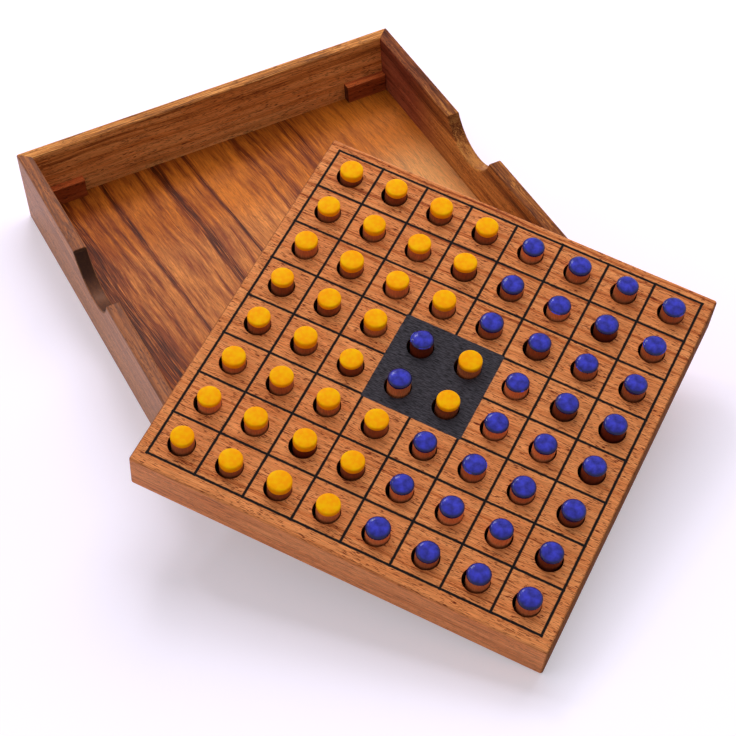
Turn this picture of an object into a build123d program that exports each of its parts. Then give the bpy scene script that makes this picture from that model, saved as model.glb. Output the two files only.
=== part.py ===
from build123d import *
import os
from math import asin, atan2, cos, degrees, hypot, isclose, radians, sin

# Reversi game: a shallow wooden tray, a thick playing board that leans on the tray's near wall,
# and a loose peg in each of the board's holes. Sizes are in millimetres and turns in degrees.
# +Z is up, +Y runs from the near wall to the far wall. The origin is the centre of the tray's underside.

# Playing board
SQUARES = 8            # squares, and so holes, along each side
SQUARE = 17.4          # one square, from line to line
BOARD_MARGIN = 4.3     # from the outermost line to the board's edge
BOARD_THICK = 16.2
BOARD_ROUND = 1.0      # rounding of the board's edges and corners
HOLE_DRIFT = 0.1       # the holes stand this much further apart than the squares
HOLE_DEPTH = 10.0

# Pegs
PEG_DIAMETER = 8.0
PEG_LENGTH = 14.6
PEG_ROUND = 0.6        # rounding of the peg's two ends
PEG_LOOSENESS = 0.7    # gap all round between a peg and its hole

# Tray
WALL = 5.3
FLOOR_THICK = 7.0
WALL_ROUND = 0.8       # rounding of the walls' edges
BOARD_FIT = 1.0        # gap to each wall when the board lies in the tray
PEG_HEADROOM = 3.0     # gap between the floor and the pegs of a board stored face down
RIM_ABOVE_BOARD = 0.4  # how far the stored board lies below the rim
LEDGE_LENGTH = 17.4
LEDGE_DEPTH = 3.3
LEDGE_ROUND = 0.3
NOTCH_WIDTH = 33.0     # finger notch, measured along the rim
NOTCH_DEPTH = 11.0

# How the board lies
BOARD_TURN = -52.5     # turn in its own plane, seen from above
BOARD_SHIFT = 1.6      # sideways, from the tray's middle
LEAN_OFFSET = 29.3     # along the slope, from the board's centre up to the wall that it leans on
LEAN_GAP = 0.1         # between the underside and the wall's rounded edge
FOOT_GAP = 0.1         # between the lowest corner and the ground

# Worked out from the sizes above
board_side = SQUARES * SQUARE + 2 * BOARD_MARGIN
hole_spacing = SQUARE + HOLE_DRIFT
hole_radius = PEG_DIAMETER / 2 + PEG_LOOSENESS
peg_stand_out = PEG_LENGTH - HOLE_DEPTH
ledge_height = peg_stand_out + PEG_HEADROOM
tray_inside = board_side + 2 * BOARD_FIT
tray_side = tray_inside + 2 * WALL
tray_height = FLOOR_THICK + ledge_height + BOARD_THICK + RIM_ABOVE_BOARD


def rounded_frame():
    """The four walls in one, with a finger notch through the left and the right side."""
    outside = Box(tray_side, tray_side, tray_height, align=(Align.CENTER, Align.CENTER, Align.MIN))
    outside = fillet(outside.edges().filter_by(Axis.Z), WALL_ROUND)
    inside = Box(tray_inside, tray_inside, tray_height, align=(Align.CENTER, Align.CENTER, Align.MIN))
    notch_radius = ((NOTCH_WIDTH / 2) ** 2 + NOTCH_DEPTH**2) / (2 * NOTCH_DEPTH)
    notch_centre = tray_height - NOTCH_DEPTH + notch_radius
    notch = Pos(0, 0, notch_centre) * Rot(0, 90, 0) * Cylinder(notch_radius, 2 * tray_side)
    frame = outside - inside - notch
    rim = frame.edges().group_by(Axis.Z)[-1]
    arcs = frame.edges().filter_by(GeomType.CIRCLE).filter_by(lambda arc: isclose(arc.radius, notch_radius))
    return fillet(rim + arcs, WALL_ROUND)


def mitred_wall(frame, turn):
    """One side of the frame, cut at 45 degrees at both ends; the far side is at a turn of 0."""
    reach = tray_side
    wedge_face = make_face(Polyline((0, 0), (reach, reach), (-reach, reach), close=True))
    wedge = extrude(wedge_face, amount=tray_height)
    return frame & (Rot(0, 0, turn) * wedge)


def floor_panel():
    """A flat panel glued in between the walls, flush with their undersides."""
    return Box(tray_inside, tray_inside, FLOOR_THICK, align=(Align.CENTER, Align.CENTER, Align.MIN))


def ledge(side_x, side_y):
    """A small block in a corner of the tray, against the far or near wall, which the stored board lies on."""
    block = Box(LEDGE_LENGTH, LEDGE_DEPTH, ledge_height, align=(Align.MAX, Align.MAX, Align.MIN))
    front_edges = block.edges().group_by(Axis.Y)[0].sort_by(Axis.Z)
    block = fillet(front_edges[1:], LEDGE_ROUND)
    in_corner = Pos(tray_inside / 2, tray_inside / 2, FLOOR_THICK) * block
    if side_x < 0:
        in_corner = mirror(in_corner, about=Plane.YZ)
    if side_y < 0:
        in_corner = mirror(in_corner, about=Plane.XZ)
    return in_corner


def board_place():
    """Where the board's underside centre lies, and how it leans.

    The underside touches the rounded outer edge of the near wall, and the board's corner, rounded
    as a ball, touches the ground. Both gaps are added to the roundings.
    """
    edge_y = -tray_side / 2 + WALL_ROUND
    edge_z = tray_height - WALL_ROUND
    above_edge = WALL_ROUND + LEAN_GAP
    turn = radians(abs(BOARD_TURN))
    corner_reach = (board_side / 2 - BOARD_ROUND) * (sin(turn) + cos(turn))
    run = LEAN_OFFSET + corner_reach
    rise = above_edge + BOARD_ROUND
    drop = edge_z - BOARD_ROUND - FOOT_GAP
    lean = atan2(rise, run) + asin(drop / hypot(run, rise))
    centre_y = edge_y - above_edge * sin(lean) - LEAN_OFFSET * cos(lean)
    centre_z = edge_z + above_edge * cos(lean) - LEAN_OFFSET * sin(lean)
    return Pos(BOARD_SHIFT, centre_y, centre_z) * Rot(degrees(lean), 0, 0) * Rot(0, 0, BOARD_TURN)


def hole_places():
    """(column letter, row number, x, y) of each hole on the board, row 1 along its far edge."""
    places = []
    middle = (SQUARES - 1) / 2
    for column in range(SQUARES):
        for row in range(SQUARES):
            x = (column - middle) * hole_spacing
            y = (middle - row) * hole_spacing
            places.append((chr(ord("a") + column), row + 1, x, y))
    return places


def playing_board():
    """A thick square board, its underside at z = 0, with a blind hole in every square."""
    board = Box(board_side, board_side, BOARD_THICK, align=(Align.CENTER, Align.CENTER, Align.MIN))
    board = fillet(board.edges(), BOARD_ROUND)
    hole = Cylinder(hole_radius, HOLE_DEPTH, align=(Align.CENTER, Align.CENTER, Align.MAX))
    return board - [Pos(x, y, BOARD_THICK) * hole for _, _, x, y in hole_places()]


def peg():
    """A short dowel with both ends rounded, standing on the floor of its hole."""
    dowel = Cylinder(PEG_DIAMETER / 2, PEG_LENGTH, align=(Align.CENTER, Align.CENTER, Align.MIN))
    dowel = fillet(dowel.edges().filter_by(GeomType.CIRCLE), PEG_ROUND)
    return Pos(0, 0, BOARD_THICK - HOLE_DEPTH) * dowel


def peg_nodes():
    """Every peg on the board. The two outer columns are one node each, and the others are single."""
    outer = ("a", chr(ord("a") + SQUARES - 1))
    pegs = {}
    for column, row, x, y in hole_places():
        name = f"pegs_column_{column}" if column in outer else f"peg_{column}{row}"
        pegs.setdefault(name, []).append(Pos(x, y, 0) * peg())
    return {name: Compound(children=group) for name, group in pegs.items()}


def tray_nodes():
    frame = rounded_frame()
    nodes = {
        "floor_panel": floor_panel(),
        "far_wall": mitred_wall(frame, 0),
        "left_wall": mitred_wall(frame, 90),
        "near_wall": mitred_wall(frame, 180),
        "right_wall": mitred_wall(frame, 270),
    }
    for y_name, side_y in (("far", 1), ("near", -1)):
        for x_name, side_x in (("left", -1), ("right", 1)):
            nodes[f"ledge_{y_name}_{x_name}"] = ledge(side_x, side_y)
    return nodes


os.makedirs("parts", exist_ok=True)
place = board_place()
nodes = tray_nodes()
nodes["playing_board"] = place * playing_board()
nodes.update({name: place * shape for name, shape in peg_nodes().items()})
for name, shape in nodes.items():
    export_step(shape, f"parts/{name}.step")
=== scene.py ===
import math
import random

import bmesh
import bpy
from mathutils import Matrix, Vector


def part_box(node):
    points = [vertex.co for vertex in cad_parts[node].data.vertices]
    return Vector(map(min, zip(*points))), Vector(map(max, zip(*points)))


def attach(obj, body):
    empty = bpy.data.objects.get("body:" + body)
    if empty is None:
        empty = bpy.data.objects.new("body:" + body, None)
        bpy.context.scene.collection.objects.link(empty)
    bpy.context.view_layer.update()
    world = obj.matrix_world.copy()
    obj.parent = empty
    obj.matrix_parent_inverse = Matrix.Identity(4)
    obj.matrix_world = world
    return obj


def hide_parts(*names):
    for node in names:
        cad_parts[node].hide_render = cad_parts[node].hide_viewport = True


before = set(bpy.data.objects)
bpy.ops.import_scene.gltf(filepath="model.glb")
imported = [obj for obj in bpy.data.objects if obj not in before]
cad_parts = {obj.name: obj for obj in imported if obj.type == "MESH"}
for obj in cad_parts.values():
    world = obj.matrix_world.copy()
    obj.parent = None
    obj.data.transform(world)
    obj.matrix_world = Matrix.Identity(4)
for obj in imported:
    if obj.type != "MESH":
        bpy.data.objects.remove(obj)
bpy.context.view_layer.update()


# Floor panel of the tray. It is two boards of oiled rain tree, glued edge to edge and sanded flat, and glued
# in between the four walls. Its grain runs from the near wall to the far wall.

MM = 0.001


def linear(code):
    """An sRGB hex colour as the linear values that a shader works in."""
    parts = [int(code[i:i + 2], 16) / 255 for i in (1, 3, 5)]
    return tuple(p / 12.92 if p <= 0.04045 else ((p + 0.055) / 1.055) ** 2.4 for p in parts) + (1.0,)


def feed(tree, node, inputs):
    """Fills inputs of a shader node, by name or number, with a value, or from a node or socket."""
    for key, value in inputs.items():
        if isinstance(key, str):
            socket = next(socket for socket in node.inputs if socket.enabled and socket.name == key)
        else:
            socket = node.inputs[key]
        if isinstance(value, bpy.types.Node):
            value = next(output for output in value.outputs if output.enabled)
        if isinstance(value, bpy.types.NodeSocket):
            tree.links.new(value, socket)
        else:
            socket.default_value = value


def add(tree, kind, inputs, **settings):
    """Adds one shader node with its settings and links."""
    node = tree.nodes.new("ShaderNode" + kind)
    for name, value in settings.items():
        setattr(node, name, value)
    feed(tree, node, inputs)
    return node


def oiled_rain_tree(name, grain, seed, pale, brown, heart, pore="#5a2a14", tones=(0.36, 0.66), broken=1.0,
                    bands=(), joint=None, streaks=1.0, fibres=(0.76, 1.2), pores=1.0, edge_pores=1.0,
                    end_grain=(0.25, 0.9, 0.3), sheen=0.3):
    """Rain tree, planed, sanded and oiled: a satin, open-pored wood with dark heartwood streaks.

    Gives the material and the node with its colour. Lengths are in millimetres.
    grain: the wood's own axes in the frame, with X along the grain, Y across it and Z through the plank.
    pale, brown, heart, pore: the colours of the youngest wood, older wood, heartwood and open pores.
    tones: the noise levels at which the wood is pale and brown.
    broken: how many times shorter the figure is than in a straight-grained plank.
    bands: bands across the grain, each (place across the grain, half width, depth). Most are growth bands
    of this very board, and some are painted shade and some painted light, as said where they are given.
    A band with a depth below 0 is pale.
    joint: the place across the grain of a glued joint with another board.
    streaks, pores: how strong they are. edge_pores: the pores of faces that don't face Z, as a share.
    fibres: the shades of the darkest and the lightest fibres.
    end_grain: how far a face is turned to the grain where end grain starts and is full, and its shade.
    sheen: the strength of the oil's reflection.
    """
    material = bpy.data.materials.new(name)
    material.use_nodes = True
    tree = material.node_tree
    surface = add(tree, "TexCoord", {})
    own = add(tree, "Mapping", {
        "Vector": surface.outputs["Object"],
        "Location": grain.to_translation(),
        "Rotation": grain.to_euler("XYZ"),
        "Scale": (MM, MM, MM),
    }, vector_type="TEXTURE")
    plank = own
    if joint is not None:
        # Past the glued joint comes another board, so its figure is that of another place of the plank.
        next_board = 400.0
        past_joint = add(tree, "SeparateXYZ", {0: own}).outputs["Y"]
        past_joint = add(tree, "Math", {0: past_joint, 1: joint}, operation="LESS_THAN")
        jump = add(tree, "CombineXYZ", {"X": past_joint})
        jump = add(tree, "VectorMath", {0: jump, "Scale": next_board}, operation="SCALE")
        plank = add(tree, "VectorMath", {0: own, 1: jump}, operation="ADD")

    # From here on each pattern's place is divided by its size in millimetres: along the grain, across it, and
    # through the plank. The first lets the grain wander sideways by up to a millimetre.
    wander = add(tree, "VectorMath", {0: plank, 1: (30, 12, 12)}, operation="DIVIDE")
    wander = add(tree, "TexNoise", {"Vector": wander, "W": seed, "Scale": 1.0, "Detail": 0.0},
                 noise_dimensions="4D")
    wander = add(tree, "VectorMath", {0: wander.outputs["Color"], 1: (0.5, 0.5, 0.5)}, operation="SUBTRACT")
    wander = add(tree, "VectorMath", {0: wander, 1: (0, 2.4, 2.4)}, operation="MULTIPLY")
    plank = add(tree, "VectorMath", {0: plank, 1: wander}, operation="ADD")

    # Changes of tone, from pale to brown wood.
    tone = add(tree, "VectorMath", {0: plank, 1: (60 / broken, 1.6, 1.6)}, operation="DIVIDE")
    tone = add(tree, "TexNoise", {"Vector": tone, "W": seed + 5, "Scale": 1.0, "Detail": 4.0,
                                  "Roughness": 0.62}, noise_dimensions="4D")
    tone = add(tree, "MapRange", {"Value": tone, "From Min": tones[0], "From Max": tones[1]})

    # Bands with ragged edges, added to the tone: growth bands, and some painted shade and painted light.
    ragged = add(tree, "VectorMath", {0: plank, 1: (44 / broken, 0.26, 0.6)}, operation="DIVIDE")
    ragged = add(tree, "TexNoise", {"Vector": ragged, "W": seed + 25, "Scale": 1.0}, noise_dimensions="4D")
    ragged = add(tree, "MapRange", {"Value": ragged, "From Min": 0.34, "From Max": 0.62})
    across = add(tree, "SeparateXYZ", {0: plank}).outputs["Y"]
    for middle, half_width, depth in bands:
        off = add(tree, "Math", {0: across, 1: middle}, operation="SUBTRACT")
        off = add(tree, "Math", {0: off}, operation="ABSOLUTE")
        band = add(tree, "MapRange", {"Value": off, "From Min": 0.0, "From Max": half_width,
                                      "To Min": depth, "To Max": 0.0}, interpolation_type="SMOOTHSTEP")
        tone = add(tree, "Math", {0: band, 1: ragged, 2: tone}, operation="MULTIPLY_ADD")
    if joint is not None:
        # The other board is a little paler.
        tone = add(tree, "Math", {0: past_joint, 1: -0.2, 2: tone}, operation="MULTIPLY_ADD")
    colour = add(tree, "Mix", {"Factor": tone, "A": linear(pale), "B": linear(brown)}, data_type="RGBA")
    darkest = add(tree, "MapRange", {"Value": tone, "From Min": 0.95, "From Max": 2.0, "To Max": 0.9})
    colour = add(tree, "Mix", {"Factor": darkest, "A": colour, "B": linear(heart)}, data_type="RGBA")

    # Fine heartwood streaks, up to some centimetres long, and stronger where the tone is dark.
    streak = add(tree, "VectorMath", {0: plank, 1: (32 / broken, 0.26, 0.8)}, operation="DIVIDE")
    streak = add(tree, "TexNoise", {"Vector": streak, "W": seed + 10, "Scale": 1.0, "Roughness": 0.55},
                 noise_dimensions="4D")
    streak = add(tree, "MapRange", {"Value": streak, "From Min": 0.53, "From Max": 0.70,
                                    "To Max": 0.8 * streaks}, interpolation_type="SMOOTHSTEP")
    deep = add(tree, "MapRange", {"Value": tone, "From Min": 0.1, "From Max": 1.4,
                                  "To Min": 0.25, "To Max": 1.2})
    streak = add(tree, "Math", {0: streak, 1: deep}, operation="MULTIPLY")
    colour = add(tree, "Mix", {"Factor": streak, "A": colour, "B": linear(heart)}, data_type="RGBA")

    # Fibres. Real ones are 0.02 mm wide and too fine to show, so they are drawn 0.18 mm wide.
    fibre = add(tree, "VectorMath", {0: plank, 1: (5.6, 0.18, 0.18)}, operation="DIVIDE")
    fibre = add(tree, "TexNoise", {"Vector": fibre, "W": seed + 15, "Scale": 1.0, "Detail": 3.0},
                noise_dimensions="4D")
    shade = add(tree, "MapRange", {"Value": fibre, "From Min": 0.35, "From Max": 0.65,
                                   "To Min": fibres[0], "To Max": fibres[1]})
    colour = add(tree, "Mix", {"Factor": 1.0, "A": colour, "B": shade}, data_type="RGBA",
                 blend_type="MULTIPLY")

    # Open pores, 0.2 mm wide, cut along their length into short dark dashes. They stand in crowds.
    pit = add(tree, "VectorMath", {0: plank, 1: (2.0, 0.2, 0.2)}, operation="DIVIDE")
    pit = add(tree, "TexNoise", {"Vector": pit, "W": seed + 20, "Scale": 1.0, "Detail": 0.0},
              noise_dimensions="4D")
    crowd = add(tree, "VectorMath", {0: plank, 1: (9.0, 1.4, 1.4)}, operation="DIVIDE")
    crowd = add(tree, "TexNoise", {"Vector": crowd, "W": seed + 30, "Scale": 1.0, "Detail": 1.0},
                noise_dimensions="4D")
    crowd = add(tree, "MapRange", {"Value": crowd, "From Min": 0.35, "From Max": 0.65,
                                   "To Min": -0.08, "To Max": 0.06})
    pit = add(tree, "Math", {0: pit, 1: crowd}, operation="ADD")
    pit = add(tree, "MapRange", {"Value": pit, "From Min": 0.60, "From Max": 0.70, "To Max": 0.85 * pores},
              interpolation_type="SMOOTHSTEP")
    through = grain.to_3x3() @ Vector((0, 0, 1))
    wide_face = add(tree, "VectorMath", {0: surface.outputs["Normal"], 1: through}, operation="DOT_PRODUCT")
    wide_face = add(tree, "MapRange", {"Value": wide_face, "From Min": 0.3, "From Max": 0.9,
                                       "To Min": edge_pores, "To Max": 1.0})
    pit = add(tree, "Math", {0: pit, 1: wide_face}, operation="MULTIPLY")
    colour = add(tree, "Mix", {"Factor": pit, "A": colour, "B": linear(pore)}, data_type="RGBA")

    # End grain drinks the oil, and turns dark and dull.
    starts, full, end_shade = end_grain
    along = grain.to_3x3() @ Vector((1, 0, 0))
    end_face = add(tree, "VectorMath", {0: surface.outputs["Normal"], 1: along}, operation="DOT_PRODUCT")
    end_face = add(tree, "Math", {0: end_face}, operation="ABSOLUTE")
    oil = add(tree, "MapRange", {"Value": end_face, "From Min": starts, "From Max": full,
                                 "To Min": 1.0, "To Max": end_shade})
    colour = add(tree, "Mix", {"Factor": 1.0, "A": colour, "B": oil}, data_type="RGBA", blend_type="MULTIPLY")
    rough = add(tree, "MapRange", {"Value": fibre, "From Min": 0.3, "From Max": 0.7,
                                   "To Min": 0.40, "To Max": 0.54})
    rough = add(tree, "MapRange", {"Value": end_face, "From Min": starts, "From Max": full,
                                   "To Min": rough, "To Max": 0.95})

    # The fibres stand up a little, and the pores are sunk.
    relief = add(tree, "Math", {0: fibre, 1: 0.35}, operation="MULTIPLY")
    relief = add(tree, "Math", {0: relief, 1: pit}, operation="SUBTRACT")
    relief = add(tree, "Bump", {"Height": relief, "Strength": 0.4, "Distance": 0.12 * MM})
    feed(tree, tree.nodes["Principled BSDF"], {
        "Base Color": colour, "Roughness": rough, "Normal": relief, "IOR": 1.48, "Specular IOR Level": sheen,
    })
    return material, colour


def finish_with(material, node):
    """Gives a CAD node a material in all its slots."""
    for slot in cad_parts[node].material_slots:
        slot.material = material


# The satin oil leaves the golden wood warm, and the short, broken streaks nearly black-brown.
GRAIN_ASKEW = 4  # degrees between the boards' grain and the side walls
floor_grain = Matrix.Rotation(math.radians(90 + GRAIN_ASKEW), 4, "Z")
# Of the floor's bands, the pale one at -70 mm, along the right wall, is painted light against the wall's
# shade, and the wide one at 68 mm makes the floor darker along the left wall.
floor_wood, colour = oiled_rain_tree(
    "oiled_rain_tree_floor", floor_grain, 15.5, pale="#e08a44", brown="#8e4422", heart="#300d02", broken=3.0,
    bands=((68, 13, 1.3), (67, 6, 0.8), (55.4, 2, 1.0), (51, 1.6, 0.7), (45.9, 1.7, 2.1), (31, 1.2, 0.9),
           (23, 3.6, 2.2), (14.9, 2, 0.9), (10.4, 1.5, 2.3), (-11.3, 2.2, 1.3), (-18, 4, 0.7),
           (-31.3, 2, 1.2), (-35, 1.6, 1.3), (-26, 26, 0.5), (-70, 14, -0.9)),
    joint=9.4, streaks=0.5, fibres=(0.76, 1.18), pores=0.4, sheen=0.2)
tree = floor_wood.node_tree
place = add(tree, "SeparateXYZ", {0: add(tree, "TexCoord", {}).outputs["Object"]})
# Towards the near and the far wall the wood is painted darker and more amber: painted shade of the walls.
from_middle = add(tree, "Math", {0: place.outputs["Y"]}, operation="ABSOLUTE")
shade = add(tree, "MapRange", {"Value": from_middle, "From Min": 36 * MM, "From Max": 70 * MM,
                               "To Min": 1.0, "To Max": 0.80})
colour = add(tree, "Mix", {"Factor": 1.0, "A": colour, "B": shade}, data_type="RGBA", blend_type="MULTIPLY")
painted_wall_shade = add(tree, "MapRange", {"Value": from_middle, "From Min": 18 * MM, "From Max": 42 * MM},
            interpolation_type="SMOOTHSTEP")
colour = add(tree, "Mix", {"Factor": painted_wall_shade, "A": colour, "B": linear("#f2dc90")}, data_type="RGBA",
             blend_type="MULTIPLY")
# Along the right wall, up to past the middle, a pale colour is added: painted light, against the right wall's
# shade.
painted_light_by_right_wall = add(tree, "MapRange", {"Value": place.outputs["X"], "From Min": 30 * MM, "From Max": 66 * MM},
              interpolation_type="SMOOTHSTEP")
near_part = add(tree, "MapRange", {"Value": place.outputs["Y"], "From Min": 15 * MM, "From Max": 48 * MM,
                                   "To Min": 1.0, "To Max": 0.0}, interpolation_type="SMOOTHSTEP")
painted_light_by_right_wall = add(tree, "Math", {0: painted_light_by_right_wall, 1: near_part}, operation="MULTIPLY")
colour = add(tree, "Mix", {"Factor": painted_light_by_right_wall, "A": colour, "B": linear("#6e6a4c")}, data_type="RGBA",
             blend_type="ADD")
feed(tree, tree.nodes["Principled BSDF"], {"Base Color": colour})
finish_with(floor_wood, "floor_panel")


# Four walls of the tray, mitred at 45 degrees and glued to each other and round the floor panel. Each is
# planed from its own strip of oiled rain tree, so each has its own tone, and its grain runs along it.

# The oil leaves the faces satin with long brown streaks, and the cut ends darker.
left_to_right = Matrix.Rotation(math.radians(90), 4, "X")
near_to_far = Matrix.Rotation(math.radians(90), 4, "Z") @ left_to_right
# In the far, left and right walls the band at 31.6 mm lies on the rim and darkens it: painted shade on the
# faces that look up. The far wall's light colours make its inner face lighter: painted light.
WALL_STRIPS = {
    "far_wall": dict(
        grain=left_to_right, seed=55.0, pale="#f4b26c", brown="#d08240", heart="#4c2310",
        bands=((31.6, 2.6, 1.3), (26, 4, 1.2), (20, 2, 0.7)), sheen=0.1),
    "left_wall": dict(
        grain=near_to_far, seed=60.0, pale="#c7824e", brown="#9a5d36", heart="#3e1c10",
        bands=((22, 4, 0.5), (31.6, 2.4, 1.0)), streaks=0.5, end_grain=(0.0, 0.6, 0.16), sheen=0.35),
    "near_wall": dict(
        grain=left_to_right, seed=65.0, pale="#bd7a48", brown="#8a4f28", heart="#3f1c10",
        streaks=0.8, sheen=0.2),
    "right_wall": dict(
        grain=near_to_far, seed=70.0, pale="#e29c51", brown="#a05d2d", heart="#3a150b",
        bands=((31.6, 2.4, 1.1), (26, 5, 1.3), (14, 3, 0.6)), streaks=0.5, end_grain=(0.5, 1.0, 0.5),
        sheen=0.1),
}
# Tints of painted shade for the rims of the two side walls.
RIM_PAINTED_SHADE = {"left_wall": "#e6cc9c", "right_wall": "#e4dad1"}
BELOW_RIM = 30.2  # in the left wall, only the notch has faces below this that face up
for wall, strip in WALL_STRIPS.items():
    wall_wood, colour = oiled_rain_tree("oiled_rain_tree_" + wall, **strip)
    finish_with(wall_wood, wall)
    if wall not in RIM_PAINTED_SHADE:
        continue

    # The rims of the two side walls, where the notches are, are tinted darker: painted shade on the faces
    # that look up.
    tree = wall_wood.node_tree
    surface = add(tree, "TexCoord", {})
    place = add(tree, "SeparateXYZ", {0: surface.outputs["Object"]})
    normal = add(tree, "SeparateXYZ", {0: surface.outputs["Normal"]})
    on_rim = add(tree, "MapRange", {"Value": normal.outputs["Z"], "From Min": 0.5, "From Max": 0.95})
    colour = add(tree, "Mix", {"Factor": on_rim, "A": colour, "B": linear(RIM_PAINTED_SHADE[wall])},
                 data_type="RGBA", blend_type="MULTIPLY")
    if wall == "right_wall":
        # Towards the far end it is made redder and darker, but less so on its rim and outer face.
        far_end = add(tree, "MapRange", {"Value": place.outputs["Y"],
                                         "From Min": 12 * MM, "From Max": 50 * MM},
                      interpolation_type="SMOOTHSTEP")
        less_on_rim = add(tree, "MapRange", {"Value": on_rim, "To Min": 1.0, "To Max": 0.6})
        far_end = add(tree, "Math", {0: far_end, 1: less_on_rim}, operation="MULTIPLY")
        less_outside = add(tree, "MapRange", {"Value": normal.outputs["X"], "From Min": 0.3, "From Max": 0.8,
                                              "To Min": 1.0, "To Max": 0.25})
        far_end = add(tree, "Math", {0: far_end, 1: less_outside}, operation="MULTIPLY")
        colour = add(tree, "Mix", {"Factor": far_end, "A": colour, "B": linear("#c09acc")},
                     data_type="RGBA", blend_type="MULTIPLY")
    else:
        # The faces of the left wall's notch that look up are painted darker: painted shade in the hollow of
        # the notch.
        sideways = add(tree, "Math", {0: normal.outputs["X"]}, operation="ABSOLUTE")
        painted_notch_shade = add(tree, "Math", {0: sideways, 1: 0.5}, operation="LESS_THAN")
        low_down = add(tree, "Math", {0: place.outputs["Z"], 1: BELOW_RIM * MM}, operation="LESS_THAN")
        painted_notch_shade = add(tree, "Math", {0: painted_notch_shade, 1: low_down}, operation="MULTIPLY")
        faces_up = add(tree, "Math", {0: normal.outputs["Z"], 1: 0.0}, operation="GREATER_THAN")
        painted_notch_shade = add(tree, "Math", {0: painted_notch_shade, 1: faces_up}, operation="MULTIPLY")
        painted_notch_shade = add(tree, "Math", {0: painted_notch_shade, 1: 0.65}, operation="MULTIPLY")
        colour = add(tree, "Mix", {"Factor": painted_notch_shade, "A": colour, "B": linear("#2c120c")}, data_type="RGBA")
    feed(tree, tree.nodes["Principled BSDF"], {"Base Color": colour})


# Four ledge blocks in the tray's corners, which the stored board lies on. They are offcuts of one redder
# strip of rain tree, glued to the floor and the walls.

# The same oil gives them a dull red-brown. Their tops are painted lighter and their sides darker: painted
# light and painted shade.
for number, ledge in enumerate(("ledge_far_left", "ledge_far_right", "ledge_near_left", "ledge_near_right")):
    cut_from_strip = Matrix.Translation((30 * number * MM, 0, 0))
    ledge_wood, colour = oiled_rain_tree(
        "oiled_rain_tree_" + ledge, cut_from_strip, 105.0 + 5 * number,
        pale="#d8743e", brown="#a44c26", heart="#5a2212", sheen=0.1)
    tree = ledge_wood.node_tree
    # Painted light and shade: lighter where the face looks up, darker on the sides.
    faces_up = add(tree, "SeparateXYZ", {0: add(tree, "TexCoord", {}).outputs["Normal"]}).outputs["Z"]
    shade = add(tree, "MapRange", {"Value": faces_up, "From Min": 0.3, "From Max": 0.9,
                                   "To Min": 0.62, "To Max": 1.25})
    colour = add(tree, "Mix", {"Factor": 1.0, "A": colour, "B": shade}, data_type="RGBA",
                 blend_type="MULTIPLY")
    feed(tree, tree.nodes["Principled BSDF"], {"Base Color": colour})
    finish_with(ledge_wood, ledge)


# Playing board. One thick block of lighter, open-pored rain tree, drilled with 64 blind holes. The grid and
# the black square in the middle are screen printed on its top. It leans on the tray's near wall.

SQUARE = 17.4
HOLE_DEPTH = 10.0
PEG_LENGTH = 14.6


def middle_of(node):
    low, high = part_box(node)
    return (low + high) / 2


# The board's own axes come from four pegs: X along the rows, Y up the columns, and Z from its top upwards.
peg_b1, peg_g1, peg_b8, peg_g8 = (middle_of(node) for node in ("peg_b1", "peg_g1", "peg_b8", "peg_g8"))
along_row = (peg_g1 - peg_b1).normalized()
up_column = (peg_b1 - peg_b8).normalized()
board_up = along_row.cross(up_column)
peg_middle_down = (HOLE_DEPTH - PEG_LENGTH / 2) * MM
board_place = Matrix((along_row, up_column, board_up)).transposed().to_4x4()
board_place.translation = (peg_b1 + peg_g1 + peg_b8 + peg_g8) / 4 + peg_middle_down * board_up
COLUMNS_B_TO_G = 5
hole_pitch = (peg_g1 - peg_b1).length / COLUMNS_B_TO_G

# It has had little oil, so it is nearly matt, and its pores show as fine dark dashes across the board.
board_wood, colour = oiled_rain_tree(
    "oiled_rain_tree_board", board_place, 155.0, pale="#f4a062", brown="#d0743c", heart="#7a2c12",
    pore="#6c2610", tones=(0.3, 0.72),
    bands=((72, 0.9, 1.6), (68.6, 0.8, 1.3), (63.5, 1.0, 1.3), (57.6, 1.2, 1.5), (52, 0.9, 1.3),
           (46.5, 1.0, 1.4), (40, 0.9, 1.2), (33.4, 1.0, 1.2), (24, 0.8, 0.9), (-12, 0.8, 0.9),
           (-40, 0.8, 0.9), (-66, 0.8, 1.0)),
    streaks=1.1, fibres=(0.7, 1.2), pores=1.2, edge_pores=0.45, sheen=0.1)
tree = board_wood.node_tree
own = tree.nodes["Mapping"]
height = add(tree, "SeparateXYZ", {0: own}).outputs["Z"]

# The print sits a little off the holes, and its edges creep into the grain over every millimetre or so.
PRINT_SHIFT = (-0.06, 0.47)
printed = add(tree, "VectorMath", {0: own, 1: (*PRINT_SHIFT, 0)}, operation="SUBTRACT")
creep = add(tree, "TexNoise", {"Vector": own, "Scale": 1 / 1.25, "Detail": 1.0})
creep = add(tree, "VectorMath", {0: creep.outputs["Color"], 1: (0.5, 0.5, 0.5)}, operation="SUBTRACT")
creep = add(tree, "VectorMath", {0: creep, "Scale": 0.25}, operation="SCALE")
printed = add(tree, "VectorMath", {0: printed, 1: creep}, operation="ADD")
printed = add(tree, "SeparateXYZ", {0: printed})
off_x, off_y = (add(tree, "Math", {0: printed.outputs[axis]}, operation="ABSOLUTE") for axis in "XY")
farthest = add(tree, "Math", {0: off_x, 1: off_y}, operation="MAXIMUM")

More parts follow.
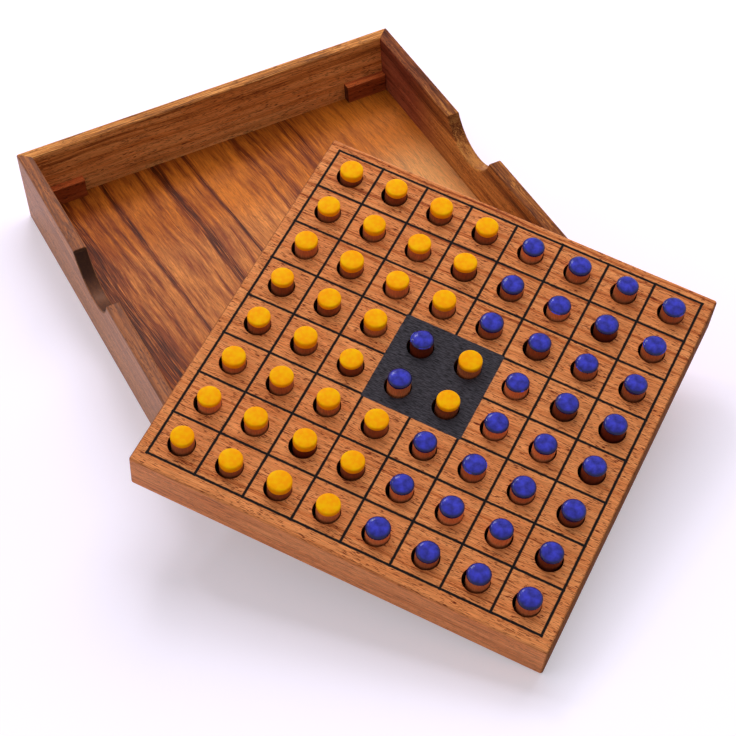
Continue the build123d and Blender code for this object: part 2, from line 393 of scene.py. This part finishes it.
# Black ink lines, one between every two squares and one all round.
LINE = 0.95
LINE_BLUR = 0.12
GRID_HALF = 4 * SQUARE
GRID_EDGE = GRID_HALF + LINE / 2 + 0.1
lines = []
for off, beside in ((off_x, off_y), (off_y, off_x)):
    # How far the point is from the nearest line of this direction, in millimetres.
    past_line = add(tree, "Math", {0: off, 1: SQUARE}, operation="MODULO")
    to_next_line = add(tree, "Math", {0: SQUARE, 1: past_line}, operation="SUBTRACT")
    nearest = add(tree, "Math", {0: past_line, 1: to_next_line}, operation="MINIMUM")
    line = add(tree, "MapRange", {"Value": nearest, "From Min": LINE / 2 - LINE_BLUR,
                                  "From Max": LINE / 2 + LINE_BLUR, "To Min": 1.0, "To Max": 0.0})
    for distance in (off, beside):
        inside = add(tree, "Math", {0: distance, 1: GRID_EDGE}, operation="LESS_THAN")
        line = add(tree, "Math", {0: line, 1: inside}, operation="MULTIPLY")
    lines.append(line)
line_ink = add(tree, "Math", {0: lines[0], 1: lines[1]}, operation="MAXIMUM")

# The black square covers the middle four squares with their lines. Its ink is thin, so the grain shows.
BLACK_HALF = 1.045 * SQUARE
BLACK_BLUR = 0.1
black_square = add(tree, "MapRange", {"Value": farthest, "From Min": BLACK_HALF - BLACK_BLUR,
                                      "From Max": BLACK_HALF + BLACK_BLUR, "To Min": 1.0, "To Max": 0.0})
thin_ink = add(tree, "VectorMath", {0: own, 1: (2.4, 0.34, 0.2)}, operation="DIVIDE")
thin_ink = add(tree, "TexNoise", {"Vector": thin_ink, "Scale": 1.0, "Detail": 4.0, "Roughness": 0.6})
thin_ink = add(tree, "MapRange", {"Value": thin_ink, "From Min": 0.34, "From Max": 0.60})
charcoal = add(tree, "Mix", {"Factor": thin_ink, "A": linear("#08070a"), "B": linear("#454149")},
               data_type="RGBA")

# The holes are painted dark, from just below the top to below their floors: painted shade inside the holes.
painted_hole_shade = add(tree, "Math", {0: farthest, 1: GRID_HALF}, operation="LESS_THAN")
for limit, side in ((-0.35, "LESS_THAN"), (-HOLE_DEPTH - 2, "GREATER_THAN")):
    within = add(tree, "Math", {0: height, 1: limit}, operation=side)
    painted_hole_shade = add(tree, "Math", {0: painted_hole_shade, 1: within}, operation="MULTIPLY")
painted_hole_shade = add(tree, "Math", {0: painted_hole_shade, 1: 0.8}, operation="MULTIPLY")
colour = add(tree, "Mix", {"Factor": painted_hole_shade, "A": colour, "B": linear("#241009")}, data_type="RGBA")

# The ink lies on the top face only.
on_top = add(tree, "Math", {0: height, 1: -0.2}, operation="GREATER_THAN")
for ink, ink_colour in ((line_ink, linear("#0b0708")), (black_square, charcoal)):
    ink = add(tree, "Math", {0: ink, 1: on_top}, operation="MULTIPLY")
    colour = add(tree, "Mix", {"Factor": ink, "A": colour, "B": ink_colour}, data_type="RGBA")
feed(tree, tree.nodes["Principled BSDF"], {"Base Color": colour})
finish_with(board_wood, "playing_board")


# Sixty-four pegs, one loose in each hole. Each is a short length of 8 mm dowel with one end dipped in yellow
# paint and the other in blue, and it is turned over by pulling it out and standing it on its other end.

PEG_RADIUS = 4.0
CLEARANCE = 0.7
PAINT_SKIN = 0.06
STEPS_ROUND = 48
WOOD, YELLOW, BLUE = range(3)  # the peg's material slots


def gloss_paint(name, thin, thick, patches, levels, side, turn, dents, roughness, sheen):
    """Gloss paint over end grain: smooth and strongly coloured, and a little deeper where it is thick.

    thin, thick: its colours. levels: the noise levels at which they stand.
    patches: how many thin and thick patches there are to a metre.
    side: its colour down the peg's side and round its edge, in part painted shade. turn: two directions
    of the surface, as the Z of its normal, and the amount of the side's colour at each.
    dents: the strength and the depth, in millimetres, of the end grain's dents that show through.
    """
    material = bpy.data.materials.new(name)
    material.use_nodes = True
    tree = material.node_tree
    surface = add(tree, "TexCoord", {})
    patch = add(tree, "TexNoise", {"Vector": surface.outputs["Object"], "Scale": patches})
    amount = add(tree, "MapRange", {"Value": patch, "From Min": levels[0], "From Max": levels[1]})
    colour = add(tree, "Mix", {"Factor": amount, "A": linear(thin), "B": linear(thick)}, data_type="RGBA")
    upward = add(tree, "SeparateXYZ", {0: surface.outputs["Normal"]}).outputs["Z"]
    # Where the surface turns from the end the side's colour is mixed in: painted shade, and on the yellow
    # also its own deeper orange.
    side_paint_and_shade = add(tree, "MapRange", {"Value": upward, "From Min": turn[0], "From Max": turn[1],
                                    "To Min": turn[2], "To Max": turn[3]})
    colour = add(tree, "Mix", {"Factor": side_paint_and_shade, "A": colour, "B": linear(side)}, data_type="RGBA")
    relief = add(tree, "Bump", {"Height": patch, "Strength": dents[0], "Distance": dents[1] * MM})
    feed(tree, tree.nodes["Principled BSDF"], {
        "Base Color": colour, "Normal": relief, "Roughness": roughness, "Specular IOR Level": sheen,
    })
    return material


# The yellow covers evenly, with patches 2.4 mm across, and down its side it is a deeper orange, partly its
# own colour and partly painted shade. The blue is glossier, its rounded edge and side are painted dark as
# painted shade, and its patches are 2.6 mm across. In the peg's own axes the yellow end faces up and the blue
# end down.
yellow_paint = gloss_paint(
    "gloss_yellow_paint", "#ffa400", "#ffba00", patches=420.0, levels=(0.38, 0.62), side="#ff9400",
    turn=(0.1, 0.8, 0.5, 0.0), dents=(0.25, 0.1), roughness=0.4, sheen=0.05)
blue_paint = gloss_paint(
    "gloss_blue_paint", "#0b0d7c", "#3235c8", patches=380.0, levels=(0.33, 0.66), side="#06084a",
    turn=(-0.99, -0.78, 0.0, 0.92), dents=(0.5, 0.15), roughness=0.16, sheen=0.3)

# Bare sanded dowel between the two painted ends, matt and red-brown, in a different tone on each peg. Its
# fibres are too fine to show, so they are drawn as stripes 0.18 mm wide and 3 mm long.
dowel_wood = bpy.data.materials.new("sanded_dowel_wood")
dowel_wood.use_nodes = True
tree = dowel_wood.node_tree
tone = add(tree, "Attribute", {}, attribute_name="wood_tone", attribute_type="OBJECT").outputs["Fac"]
bare = add(tree, "Mix", {"Factor": tone, "A": linear("#621e0c"), "B": linear("#f08a54")}, data_type="RGBA")
stripes = add(tree, "TexCoord", {}).outputs["Object"]
stripes = add(tree, "VectorMath", {0: stripes, 1: (5500, 5500, 350)}, operation="MULTIPLY")
stripes = add(tree, "TexNoise", {"Vector": stripes, "Scale": 1.0})
stripes = add(tree, "MapRange", {"Value": stripes, "From Min": 0.35, "From Max": 0.65,
                                 "To Min": 0.78, "To Max": 1.14})
bare = add(tree, "Mix", {"Factor": 1.0, "A": bare, "B": stripes}, data_type="RGBA", blend_type="MULTIPLY")
feed(tree, tree.nodes["Principled BSDF"], {"Base Color": bare, "Roughness": 0.5, "Specular IOR Level": 0.2})


def dipped_dowel(name, radius, length, yellow_depth, blue_depth, chance):
    """A lathed peg standing on its blue end, with a paint skin at each end and an uneven dip line."""
    waves = [(chance.uniform(0, 2 * math.pi), chance.uniform(0.04, 0.12)) for _ in range(3)]

    def dip(angle):
        return sum(size * math.sin((n + 1) * angle + phase) for n, (phase, size) in enumerate(waves))

    painted = radius + PAINT_SKIN
    # Each ring: radius, height, how much of the dip line's unevenness it takes, and the finish above it.
    rings = [
        (0.3 * radius, 0.0, 0, BLUE), (radius - 1.7, 0.09, 0, BLUE), (radius - 0.9, 0.27, 0, BLUE),
        (radius - 0.35, 0.52, 0, BLUE), (painted, 0.95, 0, BLUE), (painted, blue_depth - 0.05, 1, BLUE),
        (radius, blue_depth, 1, WOOD), (radius, 0.35 * length, 0, WOOD), (radius, 0.65 * length, 0, WOOD),
        (radius, length - yellow_depth, -1, YELLOW), (painted, length - yellow_depth + 0.06, -1, YELLOW),
        (painted, length - 0.5, 0, YELLOW), (radius - 0.12, length - 0.2, 0, YELLOW),
        (radius - 0.5, length - 0.06, 0, YELLOW), (0.5 * radius, length, 0, YELLOW),
    ]
    shape = bmesh.new()
    loops = []
    for ring_radius, ring_height, uneven, _ in rings:
        loop = []
        for step in range(STEPS_ROUND):
            angle = 2 * math.pi * step / STEPS_ROUND
            out = ring_radius * MM
            z = ring_height + uneven * dip(angle)
            loop.append(shape.verts.new((out * math.cos(angle), out * math.sin(angle), z * MM)))
        loops.append(loop)
    for low, high, (_, _, _, finish) in zip(loops, loops[1:], rings):
        for step in range(STEPS_ROUND):
            after = (step + 1) % STEPS_ROUND
            face = shape.faces.new((low[step], low[after], high[after], high[step]))
            face.material_index = finish
    for loop, finish in ((loops[0][::-1], BLUE), (loops[-1], YELLOW)):
        shape.faces.new(loop).material_index = finish
    for face in shape.faces:
        face.smooth = True
    mesh = bpy.data.meshes.new(name)
    shape.to_mesh(mesh)
    shape.free()
    for finish in (dowel_wood, yellow_paint, blue_paint):
        mesh.materials.append(finish)
    return bpy.data.objects.new(name, mesh)


# Each peg is cut, dipped and placed a little differently. This seed keeps them all inside the CAD's box.
chance = random.Random(86)
# Where a peg is at the rim of its hole, from the hole's middle along X and Y, and its foot from there. The
# pegs of the right half of the board lean less than those of the left half.
LEFT_HALF = ((0.33, 0.45), (0.40, -0.30))
RIGHT_HALF = ((0.40, 0.45), (-0.10, -0.20))
scene = bpy.context.scene
for column, letter in enumerate("abcdefgh"):
    for row in range(8):
        square = f"{letter}{row + 1}"
        # Yellow on the left half, blue on the right, and the other way round on the black square.
        yellow_up = (column < 4) != (column in (3, 4) and row in (3, 4))
        radius = PEG_RADIUS + chance.uniform(-0.15, 0.05)
        length = PEG_LENGTH + chance.uniform(-0.4, 0.4)
        yellow_depth = chance.uniform(1.2, 2.8)
        blue_depth = chance.uniform(1.0, 1.8)
        wood_tone = chance.betavariate(1.3, 1.9)
        rim_place, foot_place = LEFT_HALF if column < 4 else RIGHT_HALF
        at_rim = Vector([middle + chance.gauss(0, 0.12) for middle in rim_place])
        foot = at_rim + Vector([middle + chance.gauss(0, 0.2) for middle in foot_place])
        peg = dipped_dowel("dipped_peg_" + square, radius, length, yellow_depth, blue_depth, chance)
        # The pegs that stand blue end up are made paler, and those on their yellow end a little darker.
        peg["wood_tone"] = wood_tone * (0.93 if yellow_up else 1.49)
        scene.collection.objects.link(peg)

        # It rests against the side of its hole, and leans on the edge of its foot.
        room = PEG_RADIUS + CLEARANCE - radius - 0.1
        for offset in (at_rim, foot):
            if offset.length > room:
                offset *= room / offset.length
        tilt = (at_rim - foot) / HOLE_DEPTH
        lean = Vector((tilt.x, tilt.y, 1)).normalized()
        stand = Vector((0, 0, 1)).rotation_difference(lean).to_matrix().to_4x4()
        spin = Matrix.Rotation(chance.uniform(0, 2 * math.pi), 4, "Z")
        turn_over = Matrix.Identity(4)
        if not yellow_up:
            turn_over = Matrix.Translation((0, 0, length * MM)) @ Matrix.Rotation(math.pi, 4, "X")
        flat_of_foot = radius - 0.6
        x = (column - 3.5) * hole_pitch + foot.x * MM
        y = (3.5 - row) * hole_pitch + foot.y * MM
        z = (flat_of_foot * tilt.length - HOLE_DEPTH) * MM
        peg.matrix_world = board_place @ Matrix.Translation((x, y, z)) @ stand @ turn_over @ spin

        node = f"pegs_column_{letter}" if letter in "ah" else f"peg_{square}"
        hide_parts(node)
        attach(peg, node)


# Table under the object, covered with matt paper. The paper is faintly lavender in the shadows, and the
# camera sees it turn white away from the object.

PAPER_HALF = 6.0
PAPER_DROP = 0.05 * MM


def seen(tree):
    """1 where the camera sees a thing, or sees it in metal or glass, and 0 where it only gives light."""
    ray = add(tree, "LightPath", {})
    in_view = add(tree, "Math", {0: ray.outputs["Is Camera Ray"], 1: ray.outputs["Is Glossy Ray"]},
                  operation="ADD")
    return add(tree, "Math", {0: in_view, 1: ray.outputs["Is Transmission Ray"]}, operation="ADD")


paper = bpy.data.materials.new("pale_paper")
paper.use_nodes = True
tree = paper.node_tree
away = add(tree, "VectorMath", {0: add(tree, "TexCoord", {}).outputs["Object"]}, operation="LENGTH")
brightness = add(tree, "MapRange", {"Value": away, "From Min": 0.15, "From Max": 0.9,
                                    "To Min": 0.285, "To Max": 0.75})
glow = add(tree, "Math", {0: seen(tree), 1: brightness}, operation="MULTIPLY")
feed(tree, tree.nodes["Principled BSDF"], {
    "Base Color": linear("#e8e0f5"), "Roughness": 0.9, "Specular IOR Level": 0.0,
    "Emission Color": linear("#ffffff"), "Emission Strength": glow,
})
corners = [(x * PAPER_HALF, y * PAPER_HALF, 0) for x, y in ((-1, -1), (1, -1), (1, 1), (-1, 1))]
sheet = bpy.data.meshes.new("paper")
sheet.from_pydata(corners, [], [(0, 1, 2, 3)])
sheet.materials.append(paper)
ground = bpy.data.objects.new("paper", sheet)
ground.location.z = -PAPER_DROP
scene.collection.objects.link(ground)


# Studio light in a white room. A large soft box overhead, behind and to the right, gives the soft shadows to
# the near left, and a reflector on the left fills them. Two small windows at the back put the glints on the
# paint, the far left one on the blue caps.

AIM = Vector((0, -0.05, 0))
for name, place, size, watts, seen_in_gloss in (
    ("soft_box", (0.50, 0.42, 1.02), 1.1, 9.6, False),
    ("back_window", (0.20, 0.74, 1.02), 0.3, 2.2, True),
    ("far_left_window", (-0.36, 0.70, 0.97), 0.12, 1.0, True),
    ("side_reflector", (-1.0, 0.1, 0.55), 0.8, 1.6, True),
):
    light = bpy.data.lights.new(name, "AREA")
    light.shape = "SQUARE"
    light.size = size
    light.energy = watts
    lamp = bpy.data.objects.new(name, light)
    lamp.location = place
    lamp.rotation_euler = (AIM - lamp.location).to_track_quat("-Z", "Y").to_euler()
    lamp.visible_glossy = seen_in_gloss
    scene.collection.objects.link(lamp)

surroundings = bpy.data.worlds.new("white_room")
surroundings.use_nodes = True
tree = surroundings.node_tree
tree.nodes.clear()
strength = add(tree, "MapRange", {"Value": seen(tree), "To Min": 0.36, "To Max": 1.0})
white = add(tree, "Background", {"Color": linear("#ffffff"), "Strength": strength})
add(tree, "OutputWorld", {"Surface": white})
scene.world = surroundings


# Camera where the photograph was taken from: to the near left, about 46 degrees up, with a long lens. Its
# place and its turn were worked out from points measured in the photograph.

camera = bpy.data.cameras.new("camera")
camera.sensor_width = 36
camera.lens = 96.56
camera.clip_start = 0.01
right = Vector((0.894704, -0.443234, -0.055210))
down = Vector((-0.353947, -0.628159, -0.692920))
forward = Vector((0.272445, 0.639500, -0.718898))
stand_point = Matrix((right, -down, -forward)).transposed().to_4x4()
stand_point.translation = (-0.19559, -0.52049, 0.51543)
view = bpy.data.objects.new("camera", camera)
view.matrix_world = stand_point
scene.collection.objects.link(view)
scene.camera = view
scene.view_settings.view_transform = "Standard"
